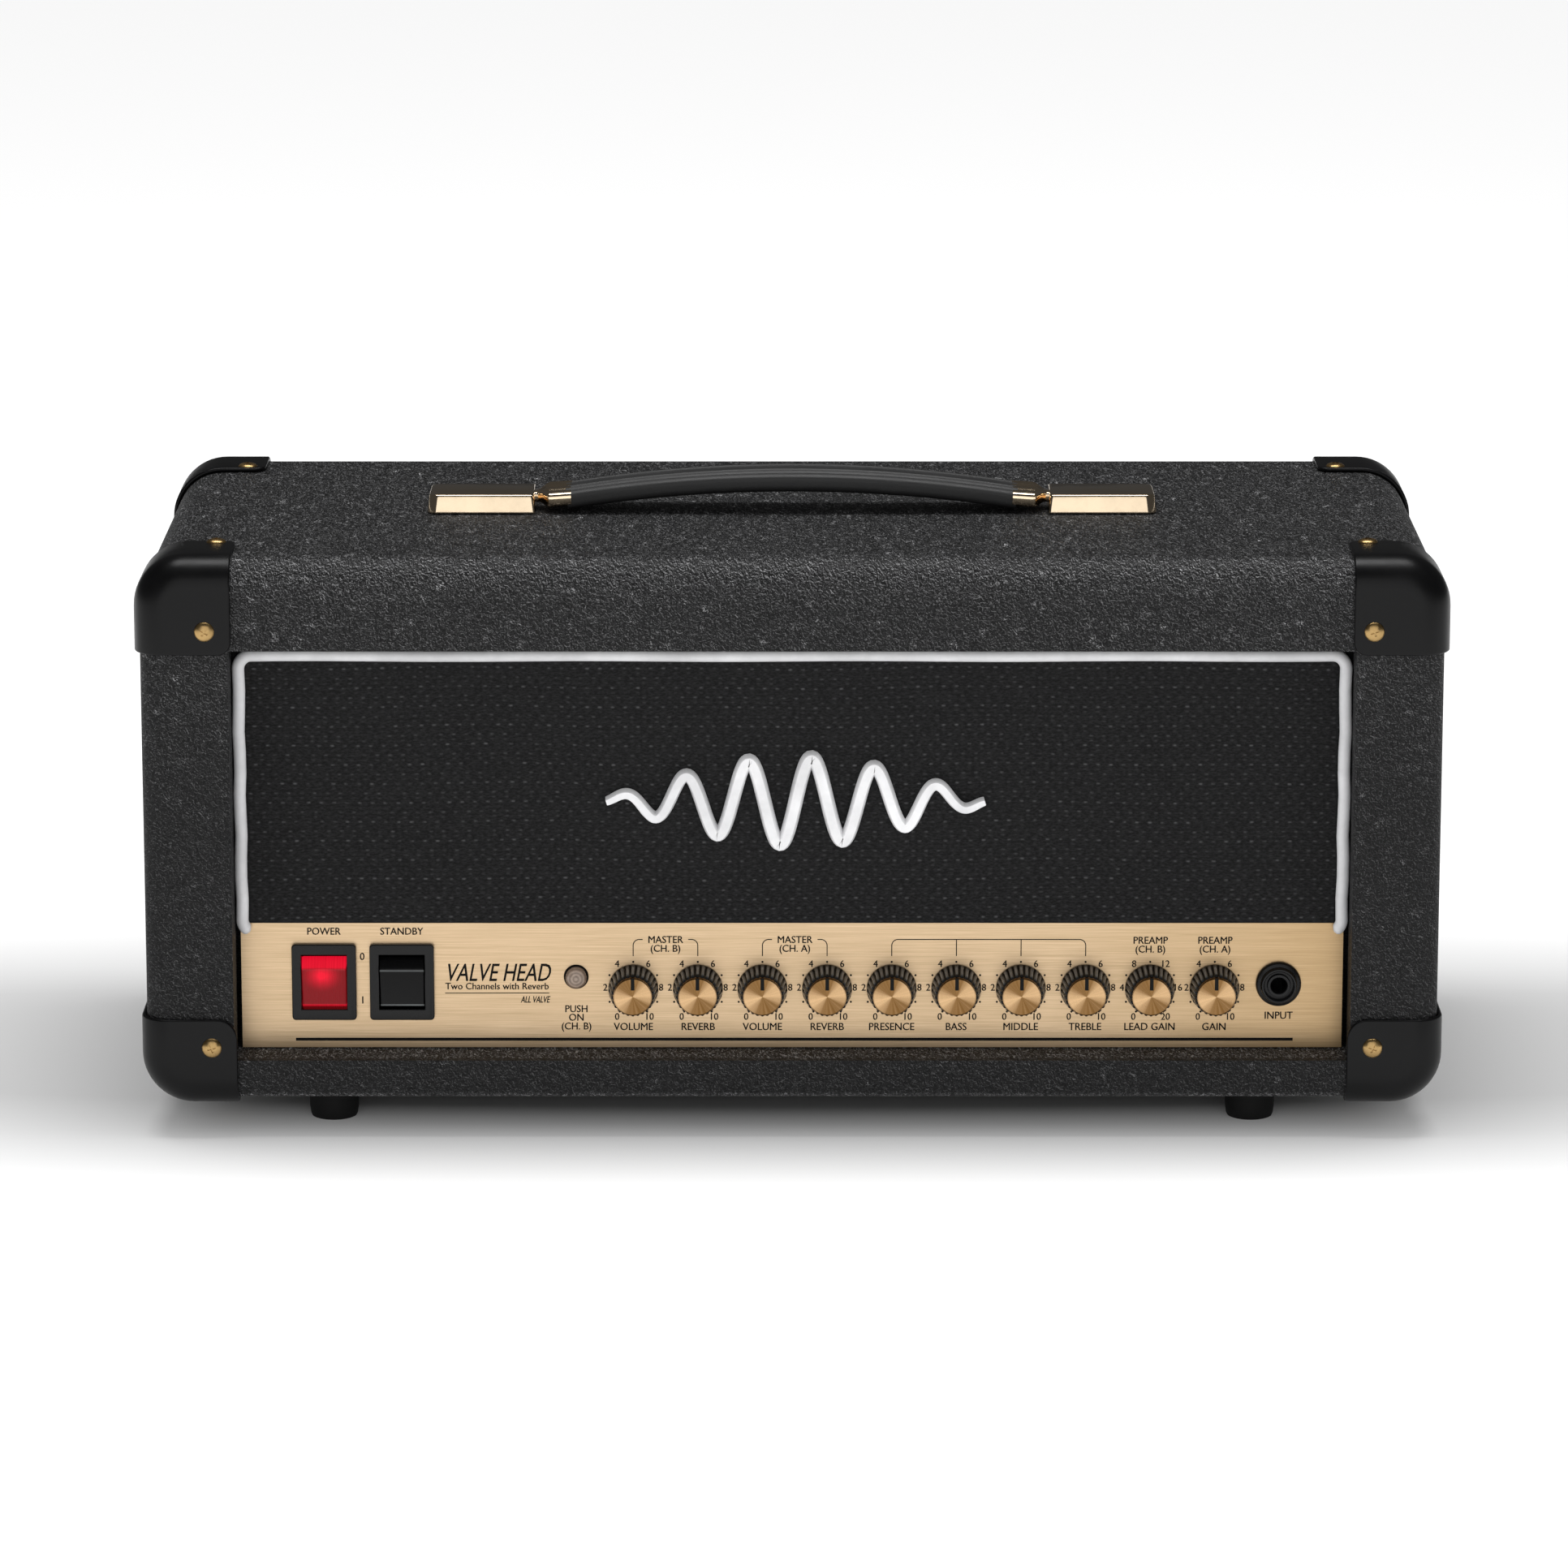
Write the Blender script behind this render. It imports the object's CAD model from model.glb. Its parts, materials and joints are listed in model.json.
"""Looks of the guitar amplifier head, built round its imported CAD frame."""

import json
import math

import bmesh
import bpy
import numpy as np
from mathutils import Matrix, Vector


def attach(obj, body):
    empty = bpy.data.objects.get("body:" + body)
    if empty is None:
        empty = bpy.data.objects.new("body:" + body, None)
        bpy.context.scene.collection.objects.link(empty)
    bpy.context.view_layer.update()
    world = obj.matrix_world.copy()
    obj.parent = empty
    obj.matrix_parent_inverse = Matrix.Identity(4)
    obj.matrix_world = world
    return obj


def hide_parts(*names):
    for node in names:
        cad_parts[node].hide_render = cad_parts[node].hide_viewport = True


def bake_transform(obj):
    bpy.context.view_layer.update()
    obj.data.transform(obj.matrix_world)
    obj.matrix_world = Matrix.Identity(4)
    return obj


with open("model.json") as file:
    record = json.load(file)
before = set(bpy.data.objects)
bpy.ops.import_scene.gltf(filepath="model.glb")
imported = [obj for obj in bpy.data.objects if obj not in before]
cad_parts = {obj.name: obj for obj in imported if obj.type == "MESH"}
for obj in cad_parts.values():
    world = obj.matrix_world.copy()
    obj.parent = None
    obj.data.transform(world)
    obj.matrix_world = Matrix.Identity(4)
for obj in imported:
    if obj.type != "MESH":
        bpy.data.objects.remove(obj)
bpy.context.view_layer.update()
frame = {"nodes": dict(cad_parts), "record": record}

# Sizes shared with the CAD model, in metres
WIDTH = 0.496
DEPTH = 0.226
FOOT_HEIGHT = 0.014
TOP = 0.2250
BOARD = 0.0165
CORNER_RADIUS = 0.018
EDGE_RADIUS = 0.010
CHEEK_WIDTH = 0.034
CHEEK_DEPTH = 0.018
RAIL_HEIGHT = 0.0342
GAP = 0.0003
FLAP = 0.0365
THICKNESS = 0.002
SIDE = WIDTH / 2
FRONT = -DEPTH / 2
BACK = DEPTH / 2
FLOOR = FOOT_HEIGHT + BOARD
CEILING = TOP - BOARD
INNER_SIDE = SIDE - BOARD
OPENING = SIDE - CHEEK_WIDTH
OPENING_TOP = TOP - RAIL_HEIGHT
CLOTH_FRONT = FRONT + 0.0184
PANEL_FRONT = CLOTH_FRONT + 0.0001
PANEL_BOTTOM = FLOOR + 0.0004
PANEL_TOP = PANEL_BOTTOM + 0.0494
KNOB_LEVEL = PANEL_BOTTOM + 0.0234
SWITCH_LEVEL = PANEL_BOTTOM + 0.0263
BUTTON_LEVEL = PANEL_BOTTOM + 0.0281
JACK_LEVEL = PANEL_BOTTOM + 0.0254
KNOBS = [-0.0612 + 0.0249 * i for i in range(10)]
POWER_SWITCH = -0.1803
STANDBY_SWITCH = POWER_SWITCH + 0.030
BUTTON = -0.0832
INPUT_JACK = 0.1875

# Further out than the object reaches, for the boxes that cut it
OUT = 0.4
ORIGIN = (0.0, 0.0, 0.0)
EVEN = (1.0, 1.0, 1.0)
# Turns of what is made standing on Z
UPWARD = Matrix.Identity(4)
DOWNWARD = Matrix.Rotation(math.pi, 4, "X")
FRONTWARD = Matrix.Rotation(math.pi / 2, 4, "X")
BACKWARD = Matrix.Rotation(-math.pi / 2, 4, "X")


# ---------------- materials
class Value:
    """A number, vector or colour in a material, with the nodes that carry on from it."""

    def __init__(self, look, socket):
        self.look = look
        self.socket = socket

    def math(self, operation, other=0.0):
        return self.look.node("ShaderNodeMath", {0: self, 1: other}, operation=operation)

    def __add__(self, other):
        return self.math("ADD", other)

    def __sub__(self, other):
        return self.math("SUBTRACT", other)

    def __mul__(self, other):
        return self.math("MULTIPLY", other)

    def __pow__(self, other):
        return self.math("POWER", other)

    def __abs__(self):
        return self.math("ABSOLUTE")

    def floor(self):
        return self.math("FLOOR")

    def fraction(self):
        return self.math("FRACT")

    def vector(self, operation, other=ORIGIN, output=0):
        return self.look.node("ShaderNodeVectorMath", {0: self, 1: other}, output, operation=operation)

    def length(self):
        return self.vector("LENGTH", output="Value")

    def axis(self, letter):
        return self.look.node("ShaderNodeSeparateXYZ", {0: self}, letter)

    def spread(self, low, high, to_low=0.0, to_high=1.0):
        """The value moved from low..high to another range, and kept in it."""
        ends = {"From Min": low, "From Max": high, "To Min": to_low, "To Max": to_high}
        return self.look.node("ShaderNodeMapRange", {"Value": self, **ends})

    def blend(self, first, second):
        """The first colour where the value is 0, the second where it is 1."""
        return self.look.node("ShaderNodeMix", {0: self, 6: first, 7: second}, 2, data_type="RGBA")


class Look:
    """A Principled material, with short calls for the nodes that feed it."""

    def __init__(self, name, colour, roughness, metallic=0.0, **sockets):
        self.material = bpy.data.materials.new(name)
        self.material.use_nodes = True
        self.tree = self.material.node_tree
        self.coordinates = self.node("ShaderNodeTexCoord", {}, "Object")
        self.set(Base_Color=colour, Roughness=roughness, Metallic=metallic, **sockets)

    def feed(self, value, socket):
        if isinstance(value, Value):
            self.tree.links.new(value.socket, socket)
        elif isinstance(value, tuple) and socket.type == "RGBA":
            socket.default_value = (*value, 1.0)
        else:
            socket.default_value = value

    def set(self, **sockets):
        """Feeds the shader's sockets, named with underscores for spaces."""
        for key, value in sockets.items():
            self.feed(value, self.tree.nodes["Principled BSDF"].inputs[key.replace("_", " ")])

    def finish(self, relief, **sockets):
        """Feeds more sockets and a bump of (height, distance, strength); gives the material."""
        self.set(Normal=self.node("ShaderNodeBump", dict(zip(("Height", "Distance", "Strength"), relief))))
        self.set(**sockets)
        return self.material

    def node(self, kind, inputs, output=0, **settings):
        made = self.tree.nodes.new(kind)
        for key, value in settings.items():
            setattr(made, key, value)
        for key, value in inputs.items():
            self.feed(value, made.inputs[key])
        return Value(self, made.outputs[output])

    def place(self, stretch=EVEN, offset=None):
        """Object coordinates, pushed about by an offset and stretched per axis."""
        source = self.coordinates if offset is None else self.coordinates.vector("ADD", offset)
        return self.node("ShaderNodeMapping", {"Vector": source, "Scale": stretch})

    def noise(self, scale, detail=2.0, roughness=0.5, distortion=0.0, stretch=EVEN, offset=None):
        pattern = {"Scale": scale, "Detail": detail, "Roughness": roughness, "Distortion": distortion}
        return self.node("ShaderNodeTexNoise", {"Vector": self.place(stretch, offset), **pattern})

    def shift(self, scale, amount):
        """Small offsets in all directions, to bend another pattern's coordinates."""
        pattern = {"Vector": self.place(), "Scale": scale, "Detail": 2.0}
        centred = self.node("ShaderNodeTexNoise", pattern, "Color").vector("SUBTRACT", (0.5, 0.5, 0.5))
        return self.node("ShaderNodeVectorMath", {0: centred, "Scale": amount}, operation="SCALE")

    def cells(self, scale, stretch, offset):
        """The distance from the middles of irregular cells."""
        return self.node("ShaderNodeTexVoronoi", {"Vector": self.place(stretch, offset), "Scale": scale})


def vinyl_look():
    """Black covering embossed with a fine worm grain, lit from above, with scattered shinier clusters."""
    look = Look("black_vinyl", (0.02, 0.02, 0.021), 0.5, Specular_IOR_Level=0.26)
    lean, along = (0.00012, 0.00030, 0.00020), (1.0, 0.38, 1.0)
    here, there = (look.noise(830.0, 2.0, 0.62, 0.9, along, offset) for offset in (None, lean))
    slope = (here - there).spread(-0.13, 0.14)
    cells = look.cells(165.0, along, look.shift(300.0, 0.004)).spread(0.05, 0.32, 1.0, 0.0)
    clusters = cells * look.noise(90.0, 1.0).spread(0.36, 0.52)
    depth, height = look.place().axis("Y"), look.place().axis("Z")
    edge = height.spread(0.209, 0.220) * depth.spread(-0.096, -0.106)
    inside = depth.spread(-0.1105, -0.1080) * depth.spread(-0.0930, -0.0910, 1.0, 0.0)
    ledge = inside * height.spread(0.0312, 0.0330, 0.55, 0.0)
    rubbed = height.spread(0.13, 0.21, 0.13, 0.25) + edge * 0.19 + ledge
    gain = clusters * height.spread(0.13, 0.20, 0.25, 0.62) + rubbed
    crests = slope ** 3.6 * gain
    return look.finish(
        (here, 0.0007, 1.0),
        Base_Color=crests.blend((0.0024, 0.0024, 0.0026), (0.50, 0.50, 0.51)),
        Roughness=crests.spread(0.0, 0.6, 0.62, 0.42),
    )


def moulded_look(name, colour, roughness, grain=2600.0, depth=0.00002, gloss=0.3):
    """Moulded plastic or rubber with a fine eroded grain and faint handling marks."""
    look = Look(name, colour, roughness, Specular_IOR_Level=gloss)
    marks = look.noise(45.0, 4.0, 0.62)
    lighter = tuple(min(1.0, c * 1.3 + 0.0008) for c in colour)
    return look.finish(
        (look.noise(grain), depth, 0.5),
        Base_Color=marks.spread(0.35, 0.7).blend(colour, lighter),
        Roughness=marks.spread(0.3, 0.7, roughness - 0.05, roughness + 0.07),
    )


def plated_look(name, colour, roughness, depth=0.00001):
    """Plated metal: a clear mirror with faint waves, pits and rubbed patches."""
    look = Look(name, colour, roughness, 1.0)
    rubbed = look.noise(90.0, 4.0, 0.6)
    deeper = tuple(c * 0.86 for c in colour)
    return look.finish(
        (look.noise(260.0, 3.0), depth, 0.35),
        Base_Color=rubbed.spread(0.42, 0.8).blend(colour, deeper),
        Roughness=rubbed.spread(0.3, 0.75, roughness * 0.7, roughness * 1.7),
    )


def brushed_look():
    """Gold anodised sheet, brushed along its length, a little duller towards its right end."""
    look = Look("gold_brushed", (0.7, 0.5, 0.26), 0.4, 1.0)
    streaks = look.noise(1.0, 4.0, 0.7, stretch=(34.0, 1.0, 5200.0))
    broad = look.noise(1.0, stretch=(14.0, 1.0, 1500.0))
    both = streaks * 0.75 + broad * 0.25
    bright = both.spread(0.39, 0.62).blend((0.600, 0.435, 0.258), (0.762, 0.566, 0.366))
    dull = both.spread(0.34, 0.66).blend((0.455, 0.307, 0.153), (0.614, 0.432, 0.242))
    return look.finish(
        (both, 0.00003, 0.3),
        Base_Color=look.place().axis("X").spread(0.10, 0.21).blend(bright, dull),
        Roughness=both.spread(0.3, 0.7, 0.46, 0.36),
    )


def steel_look(name, colour, roughness):
    """Sheet steel with rolling lines along Y and dull stains."""
    look = Look(name, colour, roughness, 1.0)
    lines = look.noise(1.0, 3.0, 0.6, stretch=(900.0, 30.0, 900.0))
    stains = look.noise(30.0, 4.0, 0.65)
    darker = tuple(c * 0.7 for c in colour)
    return look.finish(
        (lines, 0.00002, 0.3),
        Base_Color=lines.spread(0.35, 0.7).blend(colour, darker),
        Roughness=stains.spread(0.3, 0.7, roughness - 0.08, roughness + 0.14),
    )


def cloth_look():
    """Black grille cloth: dull warp, with paler weft floats that catch the light."""
    look = Look("grille_weave", (0.02, 0.02, 0.0205), 0.7, Specular_IOR_Level=0.16, Sheen_Weight=0.03)
    weave = look.node("ShaderNodeAttribute", {}, "Vector", attribute_name="weave")
    u, v = weave.axis("X"), weave.axis("Y")
    row = v.floor()
    count = u.floor() + row + (row * 0.5).floor()
    on_top = (count * 0.5).fraction().spread(0.1, 0.4, 1.0, 0.0)
    across, up = (abs(thread.fraction() - 0.5) for thread in (u, v))
    dash = across.spread(0.10, 0.42, 1.0, 0.0) * up.spread(0.02, 0.30, 1.0, 0.0)
    strong = (row * 0.5).fraction().spread(0.1, 0.4, 1.0, 0.35)
    stronger = (row * 0.25).fraction().spread(0.3, 0.45, 1.0, 0.62)
    threads = look.noise(1.0, 2.0, 0.6, stretch=(900.0, 900.0, 5200.0))
    fibre = look.noise(1.0, 2.0, 0.6, stretch=(5200.0, 900.0, 900.0))
    mixed = threads * 0.6 + fibre * 0.4
    patches = look.noise(180.0, 4.0, 0.7).spread(0.38, 0.64, 0.1, 1.2)
    shade = (on_top * dash) * (strong * stronger) * patches * mixed.spread(0.3, 0.7, 0.6, 1.3)
    slubs = look.noise(1.0, 2.0, 0.6, stretch=(700.0, 700.0, 1700.0))
    ground = slubs.spread(0.38, 0.64).blend((0.0036, 0.0036, 0.0038), (0.0145, 0.0145, 0.0149))
    return look.finish((mixed, 0.00012, 0.6), Base_Color=shade.blend(ground, (0.078, 0.078, 0.080)))


VINYL = vinyl_look()
CORNER = moulded_look("corner_moulding", (0.0018, 0.0018, 0.0020), 0.33, gloss=0.20)
BLACK = moulded_look("black_moulding", (0.0035, 0.0035, 0.0037), 0.28, gloss=0.28)
RUBBER = moulded_look("foot_rubber", (0.005, 0.005, 0.005), 0.62, 1400.0, 0.00006, 0.2)
STRAP = moulded_look("strap_rubber", (0.013, 0.013, 0.0132), 0.50, 1800.0, 0.00004, 0.45)
WHITE_VINYL = moulded_look("white_vinyl", (0.66, 0.66, 0.67), 0.40, 900.0, 0.00003)
WHITE = moulded_look("white_moulding", (0.76, 0.76, 0.77), 0.36, 1200.0, 0.00002)
GOLD = plated_look("gold_plating", (0.94, 0.76, 0.54), 0.09)
SCREW_GOLD = plated_look("brass_screw", (0.47, 0.31, 0.13), 0.30, 0.00003)
GOLD_PANEL = brushed_look()
CHASSIS_STEEL = steel_look("zinc_steel", (0.42, 0.42, 0.41), 0.36)
VENT_STEEL = moulded_look("painted_steel", (0.012, 0.012, 0.012), 0.38, 1900.0, 0.00005)
PLAIN_WOOD = moulded_look("painted_board", (0.005, 0.005, 0.005), 0.7, 500.0, 0.00008, 0.2)
CLOTH = cloth_look()
LAMP_RED = {"Emission_Color": (1.0, 0.02, 0.05), "Emission_Strength": 0.6}
RED = Look("red_lens", (0.7, 0.01, 0.02), 0.25, **LAMP_RED).material
BOARD_GREEN = moulded_look("circuit_board", (0.012, 0.10, 0.045), 0.4, 700.0, 0.00006)
LAMINATION = moulded_look("lamination", (0.02, 0.02, 0.021), 0.45, 900.0, 0.00005)
GLASS = moulded_look("valve_glass", (0.05, 0.05, 0.055), 0.1)
SMOKY = moulded_look("smoky_plastic", (0.30, 0.26, 0.22), 0.2)

LOOK_OF_SLOT = {
    "vinyl_board": VINYL, "plain_board": PLAIN_WOOD, "grille_cloth": CLOTH, "white_piping": WHITE_VINYL,
    "white_badge": WHITE, "corner_plastic": CORNER, "foot_rubber": RUBBER, "gold_plate": GOLD,
    "strap_vinyl": STRAP, "gold_panel": GOLD_PANEL, "chassis_steel": CHASSIS_STEEL, "vent_steel": VENT_STEEL,
    "circuit_board": BOARD_GREEN, "transformer": LAMINATION, "valve_glass": GLASS, "black_plastic": BLACK,
    "red_lens": RED, "clear_button": SMOKY, "jack_plastic": BLACK, "knob": BLACK,
}
for row in frame["record"]["subparts"]:
    for material_slot in frame["nodes"][row["node"]].material_slots:
        material_slot.material = LOOK_OF_SLOT[row["material_slot"]]


# ---------------- shapes
def link(name, data, where=ORIGIN):
    obj = bpy.data.objects.new(name, data)
    obj.location = where
    bpy.context.scene.collection.objects.link(obj)
    return obj


def from_bm(name, bm, where=ORIGIN):
    bmesh.ops.recalc_face_normals(bm, faces=bm.faces)
    mesh = bpy.data.meshes.new(name)
    bm.to_mesh(mesh)
    bm.free()
    return link(name, mesh, where)


def evaluated_mesh(obj):
    bpy.context.view_layer.update()
    graph = bpy.context.evaluated_depsgraph_get()
    return bpy.data.meshes.new_from_object(obj.evaluated_get(graph), depsgraph=graph)


def settle(obj, angle=38):
    """Applies an object's modifiers, and shades it smooth up to an angle in degrees."""
    mesh = evaluated_mesh(obj)
    obj.modifiers.clear()
    obj.data = mesh
    mesh.shade_smooth()
    mesh.set_sharp_from_angle(angle=math.radians(angle))
    return obj


def piece(obj, slot, look, *nodes, body="cabinet"):
    """Gives a finished object its material, body and slot, and the CAD nodes that it stands for."""
    obj.data.materials.clear()
    obj.data.materials.append(look)
    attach(obj, body)
    if nodes:
        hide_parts(*nodes)


def make(name, bm, angle, slot, look, *nodes, body="cabinet", place=UPWARD):
    """A piece straight from its mesh."""
    obj = settle(from_bm(name, bm), angle)
    obj.matrix_world = place
    piece(obj, slot, look, *nodes, body=body)


def add_box(bm, low, high, radius=0.0, segments=2):
    """A box between two corners, its edges rounded."""
    low, high = Vector(low), Vector(high)
    size = Matrix.Diagonal((*(high - low), 1.0))
    made = bmesh.ops.create_cube(bm, size=1.0, matrix=Matrix.Translation((low + high) / 2) @ size)
    if radius:
        edges = {edge for vert in made["verts"] for edge in vert.link_edges}
        rounding = {"offset": radius, "segments": segments, "profile": 0.5, "affect": "EDGES"}
        bmesh.ops.bevel(bm, geom=list(edges), **rounding)
    return bm


def box(name, low, high, radius=0.0, segments=3):
    return from_bm(name, add_box(bmesh.new(), low, high, radius, segments))


def around(x, level, half_x, half_z, near, far):
    """The corners of a box centred on (x, level) in the front plane, between two depths."""
    return (x - half_x, near, level - half_z), (x + half_x, far, level + half_z)


def lathe(profile, where=ORIGIN, turn=UPWARD, steps=48, bm=None):
    """A profile of (radius, height) points turned round Z, then turned and moved into place."""
    bm = bmesh.new() if bm is None else bm
    place = Matrix.Translation(where) @ turn
    rings = []
    for radius, height in profile:
        ring = [(radius * c, radius * s, height) for c, s in circle(1.0, steps)][: steps if radius else 1]
        rings.append([bm.verts.new(place @ Vector(point)) for point in ring])
    for lower, upper in zip(rings, rings[1:]):
        if len(lower) == len(upper) == 1:
            continue
        for i in range(steps):
            pairs = [(lower, i), (lower, i + 1), (upper, i + 1), (upper, i)]
            corners = [ring[j % len(ring)] for ring, j in pairs]
            bm.faces.new(list(dict.fromkeys(corners)))
    return bm


def disc(radius, low, high):
    """The profile of a plain solid disc, for lathe."""
    return [(0.0, low), (radius, low), (radius, high), (0.0, high)]


def circle(radius, steps=20):
    angles = [2 * math.pi * i / steps for i in range(steps)]
    return [(radius * math.cos(a), radius * math.sin(a)) for a in angles]


def arc(x, z, radius, start, end, steps=10):
    """Points of an arc in the front plane, as (x, z); angles in degrees from +X towards +Z."""
    angles = [math.radians(start + (end - start) * i / steps) for i in range(steps + 1)]
    return [(x + radius * math.cos(a), z + radius * math.sin(a)) for a in angles]


def add_rings(bm, rings):
    """Joins rings of points into a tube with a cap at each end."""
    rings = [[bm.verts.new(point) for point in ring] for ring in rings]
    for lower, upper in zip(rings, rings[1:]):
        for i, corner in enumerate(lower):
            j = (i + 1) % len(lower)
            bm.faces.new((corner, lower[j], upper[j], upper[i]))
    bm.faces.new(rings[0])
    bm.faces.new(rings[-1][::-1])
    return bm


def sweep(path, section, up):
    """A tube along a path; section(share of the path) gives its (side, up) points there."""
    rings = []
    for i, point in enumerate(path):
        before = path[max(i - 1, 0)]
        after = path[min(i + 1, len(path) - 1)]
        along = (Vector(after) - Vector(before)).normalized()
        side = along.cross(Vector(up)).normalized()
        rise = side.cross(along).normalized()
        rings.append([Vector(point) + side * a + rise * b for a, b in section(i / (len(path) - 1))])
    return add_rings(bmesh.new(), rings)


def bevel(obj, width, segments, angle=60):
    """Rounds the edges that are sharper than an angle in degrees."""
    step = obj.modifiers.new("bevel", "BEVEL")
    step.width = width
    step.segments = segments
    step.limit_method = "ANGLE"
    step.angle_limit = math.radians(angle)
    step.use_clamp_overlap = False
    return step


def along_y(start, end):
    return float(abs(start.y - end.y) > 0.001)


def weighted_bevel(obj, width, segments, weigh=along_y):
    """Rounds edges by the weight that a function of their two ends gives them."""
    mesh = obj.data
    weights = mesh.attributes.new("bevel_weight_edge", "FLOAT", "EDGE")
    for edge, weight in zip(mesh.edges, weights.data):
        weight.value = weigh(*(mesh.vertices[i].co for i in edge.vertices))
    bevel(obj, width, segments).limit_method = "WEIGHT"


def boolean(obj, operation, other):
    """Cuts by, intersects or joins with another object, which is then removed."""
    step = obj.modifiers.new("boolean", "BOOLEAN")
    step.operation = operation
    step.object = other
    step.solver = "EXACT"
    result = settle(obj)
    bpy.data.objects.remove(other)
    return result


def cut(obj, other):
    return boolean(obj, "DIFFERENCE", other)


# ---------------- cabinet
NEAR = 1e-5


def rounded_block(name, grow):
    """The cabinet's outer form, larger by grow all round."""
    low = (-SIDE - grow, FRONT - grow, FOOT_HEIGHT - grow)
    block = box(name, low, (SIDE + grow, BACK + grow, TOP + grow))
    weighted_bevel(block, CORNER_RADIUS + grow, 14)
    bevel(block, EDGE_RADIUS + grow, 10)
    return settle(block)


def opening_weight(*ends):
    """Full weight along the front opening's top and bottom, less up its sides, none elsewhere."""
    if any(abs(end.y - FRONT) > NEAR or abs(end.x) > OPENING + NEAR for end in ends):
        return 0.0
    if any(all(abs(end.z - level) < NEAR for end in ends) for level in (FLOOR, OPENING_TOP)):
        return 1.0
    return 0.4 * all(abs(abs(end.x) - OPENING) < NEAR for end in ends)


def cabinet():
    """The covering as four flush slices of one shell: two sides with cheeks, the top and the bottom."""
    shell = rounded_block("covering", 0.0)
    behind = FRONT + CHEEK_DEPTH
    cavity = box("cavity", (-INNER_SIDE, behind, FLOOR), (INNER_SIDE, OUT, CEILING))
    shell = cut(shell, cavity)
    opening = box("opening", (-OPENING, -OUT, FLOOR), (OPENING, behind + 0.01, OPENING_TOP))
    shell = cut(shell, opening)
    weighted_bevel(shell, 0.0045, 5, opening_weight)
    shell = settle(shell)
    seam, middle = OPENING - 0.00005, (0, 0, 0.12)
    between = [((-seam, 0, 0), (-1, 0, 0)), ((seam, 0, 0), (1, 0, 0))]
    slices = (
        ("side_left", [((-seam, 0, 0), (1, 0, 0))], ["cabinet_left_side"]),
        ("side_right", [((seam, 0, 0), (-1, 0, 0))], ["cabinet_right_side"]),
        ("top", [(middle, (0, 0, -1))] + between, ["cabinet_top_board", "front_top_rail"]),
        ("bottom", [(middle, (0, 0, 1))] + between, ["cabinet_bottom_board"]),
    )
    for name, cuts, nodes in slices:
        bm = bmesh.new()
        bm.from_mesh(shell.data)
        for where, outward in cuts:
            everything = bm.verts[:] + bm.edges[:] + bm.faces[:]
            bmesh.ops.bisect_plane(bm, geom=everything, plane_co=where, plane_no=outward, clear_outer=True)
            rim = [edge for edge in bm.edges if edge.is_boundary]
            bmesh.ops.holes_fill(bm, edges=rim, sides=0)
        make(f"covered_{name}", bm, 38, "vinyl_board", VINYL, *nodes)
    bpy.data.objects.remove(shell)


def corners():
    """Moulded corners with rounded flaps, one master each for top and bottom."""
    reach = FLAP - THICKNESS + 0.0008
    for z_name, flap_end, z_side, radius in (
        ("top", TOP + THICKNESS - 0.0375, 1, 0.0050),
        ("bottom", FOOT_HEIGHT - THICKNESS + 0.035, -1, 0.0075),
    ):
        near = (SIDE - reach, FRONT + reach, flap_end)
        far = (OUT, -OUT, z_side * OUT)
        limits = box("limits", list(map(min, near, far)), list(map(max, near, far)), radius, 8)
        master = boolean(rounded_block(f"corner_{z_name}", THICKNESS), "INTERSECT", limits)
        master = cut(master, rounded_block("inside", GAP))
        bevel(master, 0.0008, 4, 50)
        master = settle(master)
        for x_side, x_name in ((-1, "left"), (1, "right")):
            for y_side, y_name in ((1, "front"), (-1, "back")):
                mesh = master.data.copy()
                mesh.transform(Matrix.Diagonal((x_side, y_side, 1.0, 1.0)))
                if x_side * y_side < 0:
                    mesh.flip_normals()
                name = f"corner_{y_name}_{z_name}_{x_name}"
                piece(link(f"moulded_{name}", mesh), "corner_plastic", CORNER, name)
        bpy.data.objects.remove(master)


cabinet()
corners()

# ---------------- cloth, piping and badge
THREAD_ACROSS = 0.00244
THREAD_UP = 0.00188
RELIEF = 0.00020


def weave_height(u, v):
    """Height of the weave at thread coordinates: the weft lies over the warp on half of the crossings."""
    column, row = np.floor(u), np.floor(v)
    across, up = u - column - 0.5, v - row - 0.5
    weft_on_top = (column + row + np.floor(row / 2)) % 2 == 0
    weft = np.sqrt(np.clip(1 - (2.05 * up) ** 2, 0, 1)) * np.cos(math.pi * across * 0.95) ** 0.5
    warp = 0.72 * np.sqrt(np.clip(1 - (2.05 * across) ** 2, 0, 1)) * np.cos(math.pi * up * 0.95) ** 0.5
    return np.where(weft_on_top, weft, warp)


def grid_mesh(name, points, attribute, kind, field, values):
    """A mesh from an array of rows of points, with an attribute at each of them."""
    rows, columns = points.shape[:2]
    index = np.arange(rows * columns).reshape(rows, columns)
    faces = np.stack([index[:-1, :-1], index[:-1, 1:], index[1:, 1:], index[1:, :-1]], axis=-1)
    mesh = bpy.data.meshes.new(name)
    mesh.from_pydata(points.reshape(-1, 3).tolist(), [], faces.reshape(-1, 4).tolist())
    mesh.shade_smooth()
    layer = mesh.attributes.new(attribute, kind, "POINT")
    layer.data.foreach_set(field, values.ravel().astype(np.float32))
    return mesh


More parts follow.
